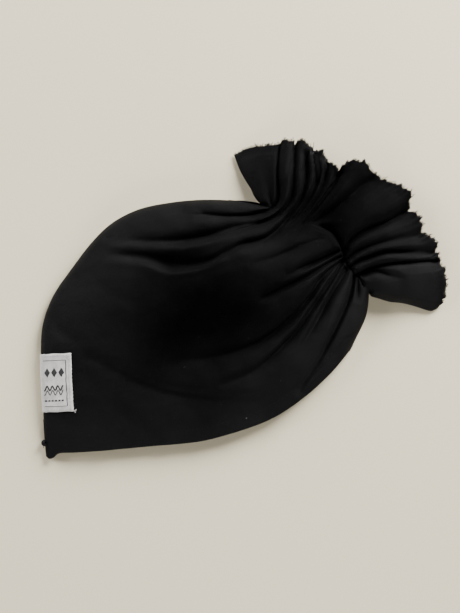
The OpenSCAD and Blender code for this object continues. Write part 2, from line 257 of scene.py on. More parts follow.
# Folds of the front: (path, depth at start, middle and end, width at the same, lean).
# A valley is a sharp crease; lean above 0 makes its left side gentler than its right.
VALLEYS = [
    ([(11.5, 75.5), (13, 65.5), (15, 51.5)], (0.5, 1.5, 2), (3, 2, 1.5), 0),
    ([(19.5, 84), (18, 70), (18.5, 58), (17.5, 52), (14.5, 49), (9, 46.8), (1.5, 45.3),
      (-10, 45), (-22, 46)], (2.4, 3.4, 1.8), (0.9, 1.1, 2.4), 0.3),
    ([(27.5, 83), (26.5, 68.5), (25.6, 56), (22.5, 50), (18, 45.5), (12.5, 42.3), (5, 39.7),
      (-3, 37.3), (-12, 34.5), (-32, 30.5)], (3, 3.8, 2.6), (1, 1.2, 2.6), 0.3),
    ([(33.5, 78.5), (33, 65.5), (30.2, 54), (26, 47.4), (22, 42), (16, 36), (10, 32.5),
      (-2, 29.3), (-9, 24.5)], (4, 4, 2.4), (1.2, 1.3, 2.4), 0.3),
    ([(37.5, 80), (39.5, 70), (38.8, 63), (34.5, 54), (29, 46), (23.5, 40), (18, 36), (10, 31)],
     (4.5, 4, 1.4), (1.3, 1.3, 2.2), 0.3),
    ([(44.3, 76), (43.6, 66), (41, 58.5), (35.5, 49.5), (30, 43.5), (25, 39), (19, 34.5)],
     (4.5, 3.6, 1), (1.3, 1.2, 1.8), 0.3),
    ([(50.8, 68), (48.3, 62), (43, 54), (37, 46.5), (33, 41.5), (28.5, 37), (23, 33)],
     (5.5, 4, 0.6), (1.8, 1.3, 2), 0.2),
    ([(41, 80), (41.5, 76), (41.5, 72)], (2.5, 1.8, 0), (1, 0.9, 0.8), 0),
    ([(47.3, 73.5), (46.6, 70), (45.5, 66.5)], (3, 2.2, 0), (1, 0.9, 0.8), 0),
    ([(-9, 24.5), (-20, 20.5), (-32, 18.3), (-57.5, 22.5)], (1.5, 2, 0.8), (2.2, 2.6, 3), 0.4),
    ([(69, 64.5), (63.5, 61), (53.5, 52), (44, 45), (38, 41.5)], (3.8, 5.2, 2),
     (5, 3.4, 2), 0),
    ([(35.5, 40.6), (39.5, 39.8), (43.5, 38.4), (47.8, 36.2), (51, 31.5), (53, 26.5)],
     (0.8, 4.4, 4.4), (1.2, 1.6, 1.3), 0.5),
    ([(53, 26.5), (54.5, 20.5), (58.5, 15.5), (61.5, 13), (64, 8)], (4, 2.6, 1.8),
     (1, 0.8, 0.8), 0.3),
    ([(86.5, 48), (77, 42), (69.5, 39.5), (63.5, 36.5), (57.5, 32.5), (54, 28)], (4.2, 4.8, 4),
     (3.4, 3, 1.2), 0.4),
    ([(93, 34.5), (81.5, 32.5), (69.5, 29.5), (61, 26), (55, 21.5)], (1.5, 3, 4), (4, 3, 1.3), 0),
    ([(102, 26), (87.5, 26), (75.5, 25.5), (67, 23), (60, 20), (56.5, 17)], (3, 4, 4),
     (2, 1.5, 1.1), 0.2),
    ([(104, 21), (87.5, 20), (75.5, 19), (67, 16.5), (61, 13.5)], (2.5, 3.5, 4), (2, 1.5, 1.1),
     0.2),
    ([(87.5, 11), (79.5, 13), (71, 15.5), (64, 13.5)], (0, 2.5, 4), (3, 2, 1.2), 0),
    ([(51, 26.5), (40.5, 21.5), (32.5, 18), (24, 13.5)], (4.5, 4.5, 1.2), (1.2, 1.9, 2.4), 0.3),
    ([(52, 23.5), (45, 19.5), (34, 13), (23, 7.5), (10, 1)], (4.5, 4, 2), (1, 1.3, 1.7), 0.2),
    ([(53, 21.5), (41.5, 12), (31, -3), (12, -20), (-8, -28), (-32, -32)], (4.5, 5, 1.6),
     (1.3, 3, 6), 0.3),
    ([(53.5, 21), (45, 8), (36, -5), (27, -18), (8, -36), (-12, -45)], (4.5, 4.2, 1.2),
     (1, 1.7, 3), 0.3),
    ([(54.5, 17.5), (47.5, 5), (41, -8), (31, -24)], (3.5, 3.6, 1), (0.9, 1.3, 2), 0.2),
    ([(55.5, 16), (50.5, 8), (42.5, -4.5), (36, -17)], (4, 3.4, 0.8), (0.9, 1.2, 1.8), 0.2),
    ([(59.5, 13.5), (58, 5.5), (55.5, -1.5), (48, -18), (39.5, -34), (30.5, -48)],
     (4, 2.8, 1), (1, 1.2, 1.6), 0),
    ([(61.5, 13), (61, 4.5), (61.5, -2.5)], (3, 2, 0), (1, 1.3, 2), 0),
    ([(-81, -30), (-65, -38), (-52.5, -45), (-32, -50), (-10, -52), (6, -52), (22, -49)],
     (1.2, 2.5, 0.2), (3, 5, 4), -0.6),
    ([(41, 32.5), (32, 29.5), (19, 23.5), (5, 19)], (0.6, 1.9, 0.5), (1.8, 2.6, 3.4), 0.3),
    ([(-80, 12.5), (-73, 5), (-57.5, -3)], (0.4, 1, 0.3), (3, 3, 3), 0),
    ([(-103, -11), (-96.5, -19), (-88.5, -22)], (0.4, 1, 0.3), (3, 3, 3), 0),
    ([(-70, 32), (-52, 31.5), (-36, 31.5), (-20, 34), (-6, 38.5), (8, 41.5)], (0.3, 5, 2),
     (2.5, 4, 2), 0.3),
    ([(-72, 24), (-54, 22.5), (-40, 18.5), (-28, 18.3), (-17, 20.5), (-8, 27)], (0.4, 6.5, 1.8),
     (2.2, 5.5, 2), 0.6),
]
# rounded ridges: path, height at start, middle and end, width
RIDGES = [
    ([(-69.5, 28.5), (-50.5, 27), (-35.5, 27), (-19, 30.5), (-0.5, 37), (18.5, 42.5)],
     (0.5, 1.8, 0.7), 2.3),
    ([(-73, 20), (-52.5, 18.5), (-39.5, 14), (-25.5, 16), (-10, 21.5), (0, 25)],
     (0.5, 2.5, 0.4), 2.1),
    ([(22, 35), (33, 38.2), (40, 37.2), (46, 33.8), (50, 29)], (0.2, 0.5, 0.4), 2.2),
]
THIRDS = (0, 0.5, 1)
CUSP = 0.3              # rounding of a valley's bottom
FOLD_DEPTH = 1.35       # all valleys are this much deeper than listed
MERGE = 2.2             # where valleys meet, a higher power lets the deeper one rule
valley_lines = [(smooth_line(path, 4), depth, width, lean) for path, depth, width, lean in VALLEYS]
ridge_lines = [(smooth_line(path, 4), height, width) for path, height, width in RIDGES]


def close_to(xy, line, reach):
    inside = (xy >= line.min(0) - reach) & (xy <= line.max(0) + reach)
    return np.where(inside.all(1))[0]


def folds(xy):
    """Depth of the valleys less the height of the ridges."""
    total = np.zeros(len(xy))
    for line, depth, width, lean in valley_lines:
        near = close_to(xy, line, 6 * max(width))
        if not len(near):
            continue
        dist, share, side = nearest(xy[near], line)
        w = np.interp(share, THIRDS, width) * (1 + lean * side)
        fall = np.exp(-(np.sqrt(dist ** 2 + CUSP ** 2) - CUSP) / w)
        total[near] += (FOLD_DEPTH * np.interp(share, THIRDS, depth) * fall) ** MERGE
    valley = total ** (1 / MERGE)
    for line, height, width in ridge_lines:
        near = close_to(xy, line, 4 * width)
        dist, share, side = nearest(xy[near], line)
        valley[near] -= np.interp(share, THIRDS, height) * np.exp(-(dist / width) ** 2)
    return valley


# waves of cloth that lies loose: direction in degrees, pitch, height, phase
SLACK_WAVES = [(20, 37, 0.22, 0.4), (75, 23, 0.14, 2.1), (130, 29, 0.16, 4.0),
               (165, 17, 0.12, 1.3), (48, 12.5, 0.09, 5.2), (100, 9, 0.05, 3.3)]


def slack(xy):
    """Slow unevenness of the loose cloth."""
    out = np.zeros(len(xy))
    for angle, pitch, size, phase in SLACK_WAVES:
        way, square = heading(math.radians(angle))
        bend = 0.6 * np.sin(xy @ square / pitch * 2.3)
        out += size * np.sin(xy @ way / pitch * 2 * math.pi + phase + bend)
    return out


SEAM_SHARE = 0.35       # the side seam lies at this share of the height beside it
TIGHT_ROLL = 4          # the cloth rolls up steeply from the side seam over this width
WIDE_ROLL = 20          # and more gently over this one
TIGHT_SHARE = 0.65      # share of the rise that is steep
HEM_STITCH = 7.0        # from the mouth edge to its row of stitches


def seam_height(xy):
    return np.clip(SEAM_SHARE * envelope(xy), 1.3, 4.2)


def front_height(xy):
    """Height of the front panel's outer face."""
    dist = side_distance(xy)
    edge = seam_height(xy)
    roll = TIGHT_SHARE * ellipse(dist / TIGHT_ROLL) + (1 - TIGHT_SHARE) * ellipse(dist / WIDE_ROLL)
    fade = smooth(dist / 3.5)
    top = envelope(xy) + slack(xy)
    hem_dist = nearest(xy, hem)[0]
    groove = 0.35 * np.exp(-((hem_dist - HEM_STITCH) / 0.9) ** 2)
    z = edge + (top - edge) * roll - folds(xy) * fade - groove * fade
    return np.maximum(z, edge + 0.5 * (dist > 0.4))


# ---- height of the back panel
LABEL_BACK = (-91.0, -62.5, -27.0)      # the label lies under the cloth left of this, between these
LABEL_ROOM = 0.62       # height of the cloth over the label there
STAND_AT = (40.5, 73)   # here the back ply stands up between two front lobes
STAND_SIZE = (7.5, 10)


def back_height(xy):
    """Height of the back panel's outer face, which is its underside."""
    dist = side_distance(xy)
    a, s = neck_coords(xy)
    edge = seam_height(xy)
    near_neck = np.exp(-((s + 2.4) / 7) ** 2)
    pleat = 0.5 * (1 + np.sin(a * 1.15 + 0.5 * np.sin(a * 0.31)))
    waves = np.clip(s / 40, 0, 1) * (0.8 + 0.8 * np.sin(a * 0.16 + 0.9))
    stand = np.exp(-(((xy - STAND_AT) / STAND_SIZE) ** 2).sum(1))
    waves = waves + stand * (4.9 + 1.1 * np.sin((xy[:, 0] * 0.8 - xy[:, 1] * 0.35) * 1.15))
    rest = 0.2 + 0.12 * (1 + slack(xy) * 2)
    rest = rest + near_neck * (1.35 + 0.9 * pleat) + waves
    room = smooth((LABEL_BACK[0] + 2 - xy[:, 0]) / 2) * smooth((xy[:, 1] - LABEL_BACK[1] + 2) / 2)
    room = room * smooth((LABEL_BACK[2] + 2 - xy[:, 1]) / 2)
    rest = np.maximum(rest, LABEL_ROOM * room)
    rise = 1 - TIGHT_SHARE * ellipse(dist / TIGHT_ROLL) - (1 - TIGHT_SHARE) * ellipse(dist / 12)
    return rest + (np.maximum(edge, rest) - rest) * rise


# ---- grids
def coons(u, v, low, high, left, right):
    """Surface between four edges, rows along v and columns along u."""
    U = u[None, :, None]
    V = v[:, None, None]
    ruled = (1 - V) * low[None] + V * high[None] + (1 - U) * left[:, None] + U * right[:, None]
    corners = (1 - U) * (1 - V) * low[0] + U * (1 - V) * low[-1]
    return ruled - corners - (1 - U) * V * high[0] - U * V * high[-1]


def columns(count):
    """Columns of a cloth's grid, closest together at its two side edges."""
    ends = np.array([0, 0.0003, 0.001, 0.0022, 0.004, 0.0065, 0.0095, 0.013, 0.017])
    middle = np.linspace(0.0215, 0.9785, int(count * GRID))
    return np.concatenate([ends, middle, 1 - ends[::-1]])


def hat_grid(u, v):
    low = at_share(hem, u)
    high = neck_point(*at_value(gather, u).T)
    return coons(u, v, low, high, at_share(hat_left, v), at_share(hat_right, v))


def frill_grid(u, t, edge):
    low = neck_point(*at_value(gather, u).T)
    high = at_value(edge, u)
    # the cut edge is stretched and curls into small scallops
    run = along_line(high)
    scallop = 0.46 * np.sin(run * 1.1 + 1.9 * np.sin(run * 0.23))
    scallop += 0.34 * np.sin(run * 2.1 + np.sin(run))
    ends = smooth(run / 6) * smooth((run[-1] - run) / 6)
    high = high + left_of(high) * (scallop * ends)[:, None]
    return coons(u, t, low, high, at_share(frill_left, t), at_share(frill_right, t))


def edge_curl(edge_xy, t):
    """Rise and fall of the cut edge, strongest in the last few millimetres."""
    run = along_line(edge_xy)
    ends = smooth(run / 5) * smooth((run[-1] - run) / 5)
    ripple = 0.55 * np.sin(run * 1.9 + 1.7 * np.sin(run * 0.19)) + 0.3 * np.sin(run * 3.1 + 2)
    return (smooth((t - 0.88) / 0.12)[:, None] * (ripple * ends)[None])


def grid_normals(P):
    return unit(np.cross(np.gradient(P, axis=1), np.gradient(P, axis=0)))


def blur(A, times):
    """Evens out a grid in place, along its rows and its columns."""
    for _ in range(times):
        A[:, 1:-1] = (A[:, :-2] + 2 * A[:, 1:-1] + A[:, 2:]) / 4
        A[1:-1] = (A[:-2] + 2 * A[1:-1] + A[2:]) / 4
    return A


# ---- meshes
def add_object(name, data):
    """New object in the scene."""
    obj = bpy.data.objects.new(name, data)
    bpy.context.scene.collection.objects.link(obj)
    return obj


def piece(name, verts, quads, material, uv=None):
    """Mesh object from points in millimetres and faces of four corners."""
    mesh = bpy.data.meshes.new(name)
    mesh.vertices.add(len(verts))
    mesh.vertices.foreach_set("co", (np.asarray(verts) * MM).astype(np.float32).ravel())
    quads = np.asarray(quads, np.int32)
    mesh.loops.add(quads.size)
    mesh.loops.foreach_set("vertex_index", quads.ravel())
    mesh.polygons.add(len(quads))
    mesh.polygons.foreach_set("loop_start", np.arange(0, quads.size, 4, dtype=np.int32))
    mesh.polygons.foreach_set("use_smooth", np.ones(len(quads), bool))
    if uv is not None:
        layer = mesh.uv_layers.new(name="cloth")
        layer.data.foreach_set("uv", np.asarray(uv)[quads.ravel()].astype(np.float32).ravel())
    mesh.update()
    mesh.validate()
    mesh.materials.append(material)
    return add_object(name, mesh)


def cloth_uv(P):
    """True distances along the rows and the columns of a grid, in millimetres."""
    across = np.linalg.norm(np.diff(P, axis=1), axis=2)
    across = np.concatenate([np.zeros((len(P), 1)), np.cumsum(across, axis=1)], axis=1)
    across -= across[:, [across.shape[1] // 2]]
    up = np.linalg.norm(np.diff(P, axis=0), axis=2).mean(1)
    up = np.concatenate([[0], np.cumsum(up)])[:, None] + 0 * across
    return np.stack([across, up], -1)


def thick_sheet(face, inner):
    """Closed mesh between a grid of outer points and one of inner points."""
    rows, cols = face.shape[:2]
    n = rows * cols
    index = np.arange(n).reshape(rows, cols)
    top = np.stack([index[:-1, :-1], index[:-1, 1:], index[1:, 1:], index[1:, :-1]], -1)
    top = top.reshape(-1, 4)
    ring = np.concatenate([index[0], index[1:, -1], index[-1, -2::-1], index[-2:0:-1, 0]])
    after = np.roll(ring, -1)
    rim = np.stack([ring, ring + n, after + n, after], -1)
    quads = np.vstack([top, top[:, ::-1] + n, rim])
    uv = cloth_uv(face).reshape(-1, 2)
    return np.vstack([face.reshape(-1, 3), inner.reshape(-1, 3)]), quads, np.vstack([uv, uv])


# faces that close a tube's end, by the number of its sides
CAPS = {4: [(0, 1, 2, 3)],
        6: [(0, 1, 2, 3), (0, 3, 4, 5)]}


def tube(path, radius, sides=6, closed=False):
    """Round thread along a path."""
    path = np.asarray(path, float)
    if closed:
        way = unit(np.roll(path, -1, 0) - np.roll(path, 1, 0))
    else:
        way = unit(np.gradient(path, axis=0))
    side = np.zeros_like(path)
    last = np.cross(way[0], (0, 0, 1))
    if np.linalg.norm(last) < 0.05:
        last = np.cross(way[0], (1, 0, 0))
    for k in range(len(path)):
        last = unit(last - (last @ way[k]) * way[k])
        side[k] = last
    other = np.cross(way, side)
    turn = np.arange(sides) * 2 * math.pi / sides
    ring = side[:, None] * np.cos(turn)[None, :, None] + other[:, None] * np.sin(turn)[None, :, None]
    verts = (path[:, None] + radius * ring).reshape(-1, 3)
    index = np.arange(len(verts)).reshape(-1, sides)
    beside = np.roll(index, -1, 1)
    quads = np.stack([index, beside, np.roll(beside, -1, 0), np.roll(index, -1, 0)], -1)
    if closed:
        return verts, quads.reshape(-1, 4)
    caps = np.array(CAPS[sides])
    return verts, np.vstack([quads[:-1].reshape(-1, 4), caps[:, ::-1], caps + len(verts) - sides])


def join(parts):
    verts, quads, base = [], [], 0
    for v, q in parts:
        verts.append(v)
        quads.append(np.asarray(q) + base)
        base += len(v)
    return np.vstack(verts), np.vstack(quads)


def bundle(name, parts, material):
    """One piece made of many small closed parts."""
    return piece(name, *join(parts), material)


# ---- materials
def put(tree, socket, value):
    """Link an output to a socket, or set the socket's own value."""
    if isinstance(value, bpy.types.NodeSocket):
        tree.links.new(value, socket)
    else:
        socket.default_value = value


def node(tree, kind, **values):
    """New node with its inputs and its other settings."""
    made = tree.nodes.new("ShaderNode" + kind)
    for key, value in values.items():
        if key in made.inputs:
            put(tree, made.inputs[key], value)
        else:
            setattr(made, key, value)
    return made


def maths(tree, what, *values):
    made = node(tree, "Math", operation=what)
    for socket, value in zip(made.inputs, values):
        put(tree, socket, value)
    return made.outputs[0]


def vector_maths(tree, what, vector, by):
    made = node(tree, "VectorMath", operation=what)
    put(tree, made.inputs[0], vector)
    put(tree, made.inputs[1], by)
    return made.outputs["Vector"]


def ramp(tree, value, low, high, colour_a, colour_b):
    made = node(tree, "ValToRGB")
    put(tree, made.inputs[0], value)
    for stop, place, colour in zip(made.color_ramp.elements, (low, high), (colour_a, colour_b)):
        stop.position = place
        stop.color = colour + (1,)
    return made.outputs[0]


def mix(tree, share, a, b, blend="MIX"):
    made = node(tree, "Mix", data_type="RGBA", blend_type=blend)
    for index, value in ((0, share), (6, a), (7, b)):
        put(tree, made.inputs[index], value)
    return made.outputs[2]


def noise(tree, place, scale, detail, rough):
    made = node(tree, "TexNoise", Vector=place, Scale=scale, Detail=detail, Roughness=rough)
    return made.outputs[0]


def bump(tree, height, strength, distance, **under):
    made = node(tree, "Bump", Height=height, Strength=strength, Distance=distance, **under)
    return made.outputs[0]


def object_place(tree):
    return node(tree, "TexCoord").outputs["Object"]


def cloth_place(tree):
    """Place on the cloth itself, across and along, in millimetres."""
    uv = node(tree, "UVMap", uv_map="cloth")
    return node(tree, "SeparateXYZ", Vector=uv.outputs[0]).outputs[:2]


def material(name, rough, sheen=0.0, sheen_rough=0.3, specular=0.5):
    m = bpy.data.materials.new(name)
    m.use_nodes = True
    shader = m.node_tree.nodes["Principled BSDF"]
    for socket, value in (("Roughness", rough), ("Sheen Weight", sheen),
                          ("Sheen Roughness", sheen_rough), ("Specular IOR Level", specular)):
        shader.inputs[socket].default_value = value
    return m, m.node_tree, shader


# painted shade: the black is darkest in two oval patches, standing in for shade on the cloth: centre
# in metres, turn, one over the half axes, start
PAINTED_SHADE_PATCHES = [((-0.014, -0.009, 0), -20, (11.0, 17.6, 0), 0.0),
                ((0.042, 0.046, 0), -25, (10.0, 19.0, 0), 0.15)]
PAINTED_SHADE_BLACK = (0.00005, 0.00005, 0.00006, 1)
SPECK_GREY = (0.02, 0.02, 0.021, 1)


def patch_distance(tree, place, centre, turn, one_over, start):
    """Distance from an oval patch, 1 at its outline, with a start value at its middle."""
    off = vector_maths(tree, "SUBTRACT", place, centre)
    turned = node(tree, "VectorRotate", rotation_type="Z_AXIS", Vector=off, Angle=math.radians(turn))
    scaled = vector_maths(tree, "MULTIPLY", turned.outputs[0], one_over)
    far = node(tree, "VectorMath", operation="LENGTH")
    put(tree, far.inputs[0], scaled)
    return maths(tree, "ADD", far.outputs["Value"], start)


def painted_shade_to_light(tree, place, cloud):
    """Share from painted shade to painted light: 0 in the dark patches, 1 at the outline, unevenly.
    """
    away = [patch_distance(tree, place, *patch) for patch in PAINTED_SHADE_PATCHES]
    away = maths(tree, "SMOOTH_MIN", *away, 0.2)
    uneven = maths(tree, "ADD", away, maths(tree, "MULTIPLY", cloud, 0.9))
    return ramp(tree, maths(tree, "MULTIPLY", uneven, 0.62), 0.35, 1.0, (0, 0, 0), (1, 1, 1))


def knit_height(tree, pitch):
    """Wales and courses of small stitches, each course pulled into a row of loops."""
    across, along = cloth_place(tree)
    wale = maths(tree, "MULTIPLY", across, 2 * math.pi / pitch)
    course = maths(tree, "MULTIPLY", along, 2 * math.pi / (pitch * 0.75))
    pull = maths(tree, "ABSOLUTE", maths(tree, "SINE", maths(tree, "MULTIPLY", wale, 0.5)))
    loops = maths(tree, "SINE", maths(tree, "ADD", course, maths(tree, "MULTIPLY", pull, 3.0)))
    return maths(tree, "ADD", maths(tree, "MULTIPLY", maths(tree, "SINE", wale), 0.5),
                 maths(tree, "MULTIPLY", loops, 0.4))


def jersey(name, dark, light, knit_pitch):
    """Black cotton jersey: knit, fuzz, mottling, painted shade in two patches, painted light towards
    the outline, and lint.
    """
    m, tree, shader = material(name, 0.6, 0.008, 0.3)
    place = object_place(tree)
    fuzz = noise(tree, place, 2600.0, 3.0, 0.7)
    mottle = noise(tree, place, 95.0, 5.0, 0.62)
    cloud = noise(tree, place, 30.0, 3.0, 0.5)
    lint = noise(tree, place, 900.0, 1.0, 0.5)
    warm = tuple(c * 1.25 for c in light) + (1,)
    painted_edge_light = tuple(c * 2.5 for c in light) + (1,)
    shade = ramp(tree, mottle, 0.34, 0.68, dark, light)
    shade = mix(tree, maths(tree, "MULTIPLY", cloud, 0.55), shade, warm)
    shade_to_light = painted_shade_to_light(tree, place, cloud)
    # painted shade: the black is mixed darker in the patches; painted light: paler towards the
    # outline
    shade = mix(tree, shade_to_light, mix(tree, 0.72, shade, PAINTED_SHADE_BLACK), mix(tree, 0.8, shade, painted_edge_light))
    speck = ramp(tree, lint, 0.76, 0.81, (0, 0, 0), (1, 1, 1))
    shade = mix(tree, maths(tree, "MULTIPLY", speck, 0.5), shade, SPECK_GREY)
    put(tree, shader.inputs["Base Color"], shade)
    # the specular level follows the same mask: lower in the painted shade, higher at the
    # painted-light outline
    shine = maths(tree, "ADD", maths(tree, "MULTIPLY", shade_to_light, 0.06), 0.012)
    put(tree, shader.inputs["Specular IOR Level"], shine)
    fine = maths(tree, "ADD", knit_height(tree, knit_pitch), maths(tree, "MULTIPLY", fuzz, 1.3))
    soft = bump(tree, mottle, 0.5, 0.0014)
    put(tree, shader.inputs["Normal"], bump(tree, fine, 0.5, 0.00018, Normal=soft))
    return m


def thread_material(name, dark, light, rough=0.6, sheen=0.05, specular=0.3):
    m, tree, shader = material(name, rough, sheen, 0.4, specular)
    place = object_place(tree)
    strand = noise(tree, place, 1500.0, 3.0, 0.6)
    put(tree, shader.inputs["Base Color"], ramp(tree, strand, 0.3, 0.7, dark, light))
    twist = node(tree, "TexWave", Vector=place, Scale=900.0, Distortion=2.0, Detail=1.0)
    put(tree, shader.inputs["Normal"], bump(tree, twist.outputs[0], 0.4, 0.00008))
    return m


def label_material():
    """Woven satin ribbon: fine ribs along and across, and painted shade, a little grey, in the
    threads' gaps.
    """
    m, tree, shader = material("label_ribbon", 0.55, 0.15, 0.3, 0.4)
    across, along = cloth_place(tree)
    warp = maths(tree, "SINE", maths(tree, "MULTIPLY", across, 2 * math.pi / 0.32))
    weft = maths(tree, "SINE", maths(tree, "MULTIPLY", along, 2 * math.pi / 0.24))
    weave = maths(tree, "MULTIPLY", maths(tree, "ADD", warp, weft), 0.5)
    soil = noise(tree, object_place(tree), 260.0, 4.0, 0.6)
    shade = ramp(tree, soil, 0.3, 0.75, (0.40, 0.39, 0.385), (0.60, 0.59, 0.575))
    # painted shade in the low gaps of the weave
    gap = ramp(tree, weave, -0.9, 0.4, (0.8, 0.8, 0.8), (1, 1, 1))
    put(tree, shader.inputs["Base Color"], mix(tree, 1.0, shade, gap, "MULTIPLY"))
    put(tree, shader.inputs["Normal"], bump(tree, weave, 0.5, 0.00008))
    return m


outer_jersey = jersey("outer_jersey", (0.0002, 0.0002, 0.0003), (0.0009, 0.0009, 0.0011), 0.62)
lining_jersey = jersey("lining_jersey", (0.0003, 0.0003, 0.0004), (0.0012, 0.0012, 0.0014), 0.7)
seam_cloth = jersey("overlocked_seam", (0.0014, 0.0014, 0.0016), (0.0034, 0.0034, 0.0037), 0.5)
black_thread = thread_material("black_thread", (0.001, 0.001, 0.0012), (0.004, 0.004, 0.0045),
                               sheen=0.01, specular=0.1)
raw_thread = thread_material("raw_edge_thread", (0.003, 0.003, 0.004), (0.012, 0.012, 0.016),
                             rough=0.8, specular=0.15)
elastic_mat = thread_material("elastic_cord", (0.001, 0.001, 0.001), (0.004, 0.004, 0.0042),
                              rough=0.5, sheen=0.0, specular=0.1)
lint_mat = thread_material("lint", (0.03, 0.03, 0.028), (0.14, 0.135, 0.13), rough=0.8, sheen=0.0)
label_thread = thread_material("label_thread", (0.22, 0.215, 0.21), (0.46, 0.45, 0.44), rough=0.55)
pattern_thread = thread_material("label_weft_pattern", (0.006, 0.006, 0.007), (0.03, 0.03, 0.032))
ribbon = label_material()

# ---- front and back cloth
HEM_R = 1.15            # radius of the rolled mouth edge
SIDE_R = 0.45           # and of its two ends
HEM_TURN = 12.0         # cloth turned in behind the mouth edge
ABOVE_TABLE = 0.02      # the cloth's lowest points


def panel(height, edge, sign, u, hat_v, frill_t):
    """Outer face and inner face of a panel: turned-in hem, rolled edge, hat and frill."""
    hat_xy = hat_grid(u, hat_v)
    frill_xy = frill_grid(u, frill_t, edge)
    # the outline given is the rolled edge's outside, so the cloth's face starts inside it
    way_in = unit(hat_grid(u, np.array([0.0, 0.05]))[1] - hat_xy[0])
    dist = np.minimum(side_distance(hat_xy[0]), 8)
    radius = SIDE_R + (HEM_R - SIDE_R) * smooth(dist / 6)
    hat_xy = hat_xy + way_in[None] * (radius[:, None] * (1 - hat_v[:, None, None] / 0.08).clip(0, 1))
    xy = np.concatenate([hat_xy, frill_xy], axis=0)
    P = np.dstack([xy, height(xy.reshape(-1, 2)).reshape(xy.shape[:2])])
    curl = edge_curl(frill_xy[-1], frill_t)
    P[len(hat_v):, :, 2] += curl if sign > 0 else np.abs(curl)
    first = P[0]
    down = np.array([0, 0, -sign])
    turn = []
    for angle in np.linspace(0, math.pi, 11)[1:]:
        swing = -way_in * math.sin(angle)
        swing = np.concatenate([swing, np.zeros((len(u), 1))], axis=1)
        turn.append(first + radius[:, None] * (swing + down * (1 - math.cos(angle))))
    deep = np.linalg.norm(xy - xy[:1], axis=2).mean(1)
    last = int(np.argmax(deep > HEM_TURN))
    return P, np.array(turn), P[1:last] + down * (2 * radius[:, None])


def build_panel(name, height, edge, sign, cols, hat_rows, frill_rows):
    """One cloth with its thickness, and the grid of its outer face without the hem."""
    u = columns(cols)
    share = np.linspace(0, 1, int(hat_rows * GRID))
    hat_v = np.concatenate([[0, 0.004, 0.01, 0.018], 0.028 + 0.972 * (1 - (1 - share) ** 1.45)])
    frill_t = np.linspace(0, 1, int(frill_rows * GRID))[1:]
    P, turn, inside = panel(height, edge, sign, u, hat_v, frill_t)
    body = P.copy()
    body[:, :, 2] = blur(body[:, :, 2].copy(), 1)
    body[:, [0, -1]] = P[:, [0, -1]]
    full = np.concatenate([inside[::-1], turn[::-1], body], axis=0)
    normals = grid_normals(full) * sign
    start = len(inside) + len(turn)
    normals[start + 1:, :, 2] = sign * np.abs(normals[start + 1:, :, 2])
    normals = unit(blur(normals, 2))
    dist = side_distance(full[:, :, :2].reshape(-1, 2)).reshape(full.shape[:2])
    thick = CLOTH * (0.12 + 0.88 * ellipse(dist / 1.3))
    inner = full - normals * thick[..., None]
    verts, quads, uv = thick_sheet(full[:, ::sign], inner[:, ::sign])
    verts[:, 2] = np.maximum(verts[:, 2], ABOVE_TABLE)
    return piece(name, verts, quads, outer_jersey, uv), body


front_cloth, front_body = build_panel("front_cloth", front_height, front_edge, 1, 184, 160, 56)
back_cloth, back_body = build_panel("back_cloth", back_height, back_edge, -1, 150, 90, 50)


# ---- linings
def lowest_near(z):
    """Lowest height within a few grid steps, so that a sheet below clears every fold."""
    out = z.copy()
    for step in (1, 2, 3):
        out[:, step:] = np.minimum(out[:, step:], z[:, :-step])
        out[:, :-step] = np.minimum(out[:, :-step], z[:, step:])
    deeper = out.copy()
    for step in (1, 2):
        deeper[step:] = np.minimum(deeper[step:], out[:-step])
        deeper[:-step] = np.minimum(deeper[:-step], out[step:])
    return deeper


LINING_DROP = 1.05      # the lining's outer face lies this far inside the panel's
LINING_FROM = HEM_TURN - 1.5    # it starts behind the turned-in hem
SIDE_SKIP = 14          # grid columns between the side fold and the lining's edge
EDGE_SKIP = 2           # grid rows between the panel's raw edge and the lining's


def build_lining(name, source, sign, step):
    """Sheet that lies a layer inside a panel, from behind the hem to just short of its raw edge."""
    deep = np.linalg.norm(source[:, :, :2] - source[:1, :, :2], axis=2).mean(1)
    first = int(np.argmax(deep > LINING_FROM))
    hem_gap = np.clip(1 - (deep - LINING_FROM) / 7, 0, 1)[:, None]
    P = source.copy()
    P[:, :, 2] = lowest_near(source[:, :, 2] * sign) * sign
    P[:, :, 2] -= sign * (LINING_DROP + 2.3 * smooth(hem_gap))
    P[:, :, 2] = blur(P[:, :, 2].copy(), 3)
    P = P[first:len(P) - EDGE_SKIP:step, SIDE_SKIP:-SIDE_SKIP:step]
    normals = grid_normals(P)
    inner = P - sign * normals * CLOTH * np.sign(normals[..., 2:3])
    verts, quads, uv = thick_sheet(P[:, ::sign], inner[:, ::sign])
    return piece(name, verts, quads, lining_jersey, uv), P


front_lining, front_lining_grid = build_lining("front_lining", front_body, 1, 2)
back_lining = build_lining("back_lining", back_body, -1, 1)[0]

# ---- woven label over the left fold
LABEL_LOW, LABEL_HIGH = -60.7, -29.4    # its lower and upper edge
LABEL_IN = 17.4         # how far each half reaches in from the fold
LABEL_THICK = 0.3
LABEL_STEPS = np.array([0, 0.02, 0.08, 0.2, 0.4, 0.7, 1.1, 1.6, 2.3, 3.2, 4.5, 6, 7.5, 9, 10.5, 12,
                        13.5, 15, 16.3, LABEL_IN])


def fold_x(y):
    """Place of the left fold at the label's height."""
    low_part = hat_left[hat_left[:, 1] < 20]
    return np.interp(y, low_part[:, 1], low_part[:, 0])


def label_shift(k, y):
    """The label sits a little askew: its free end is higher than its fold."""
    return y + 0.055 * np.abs(k)


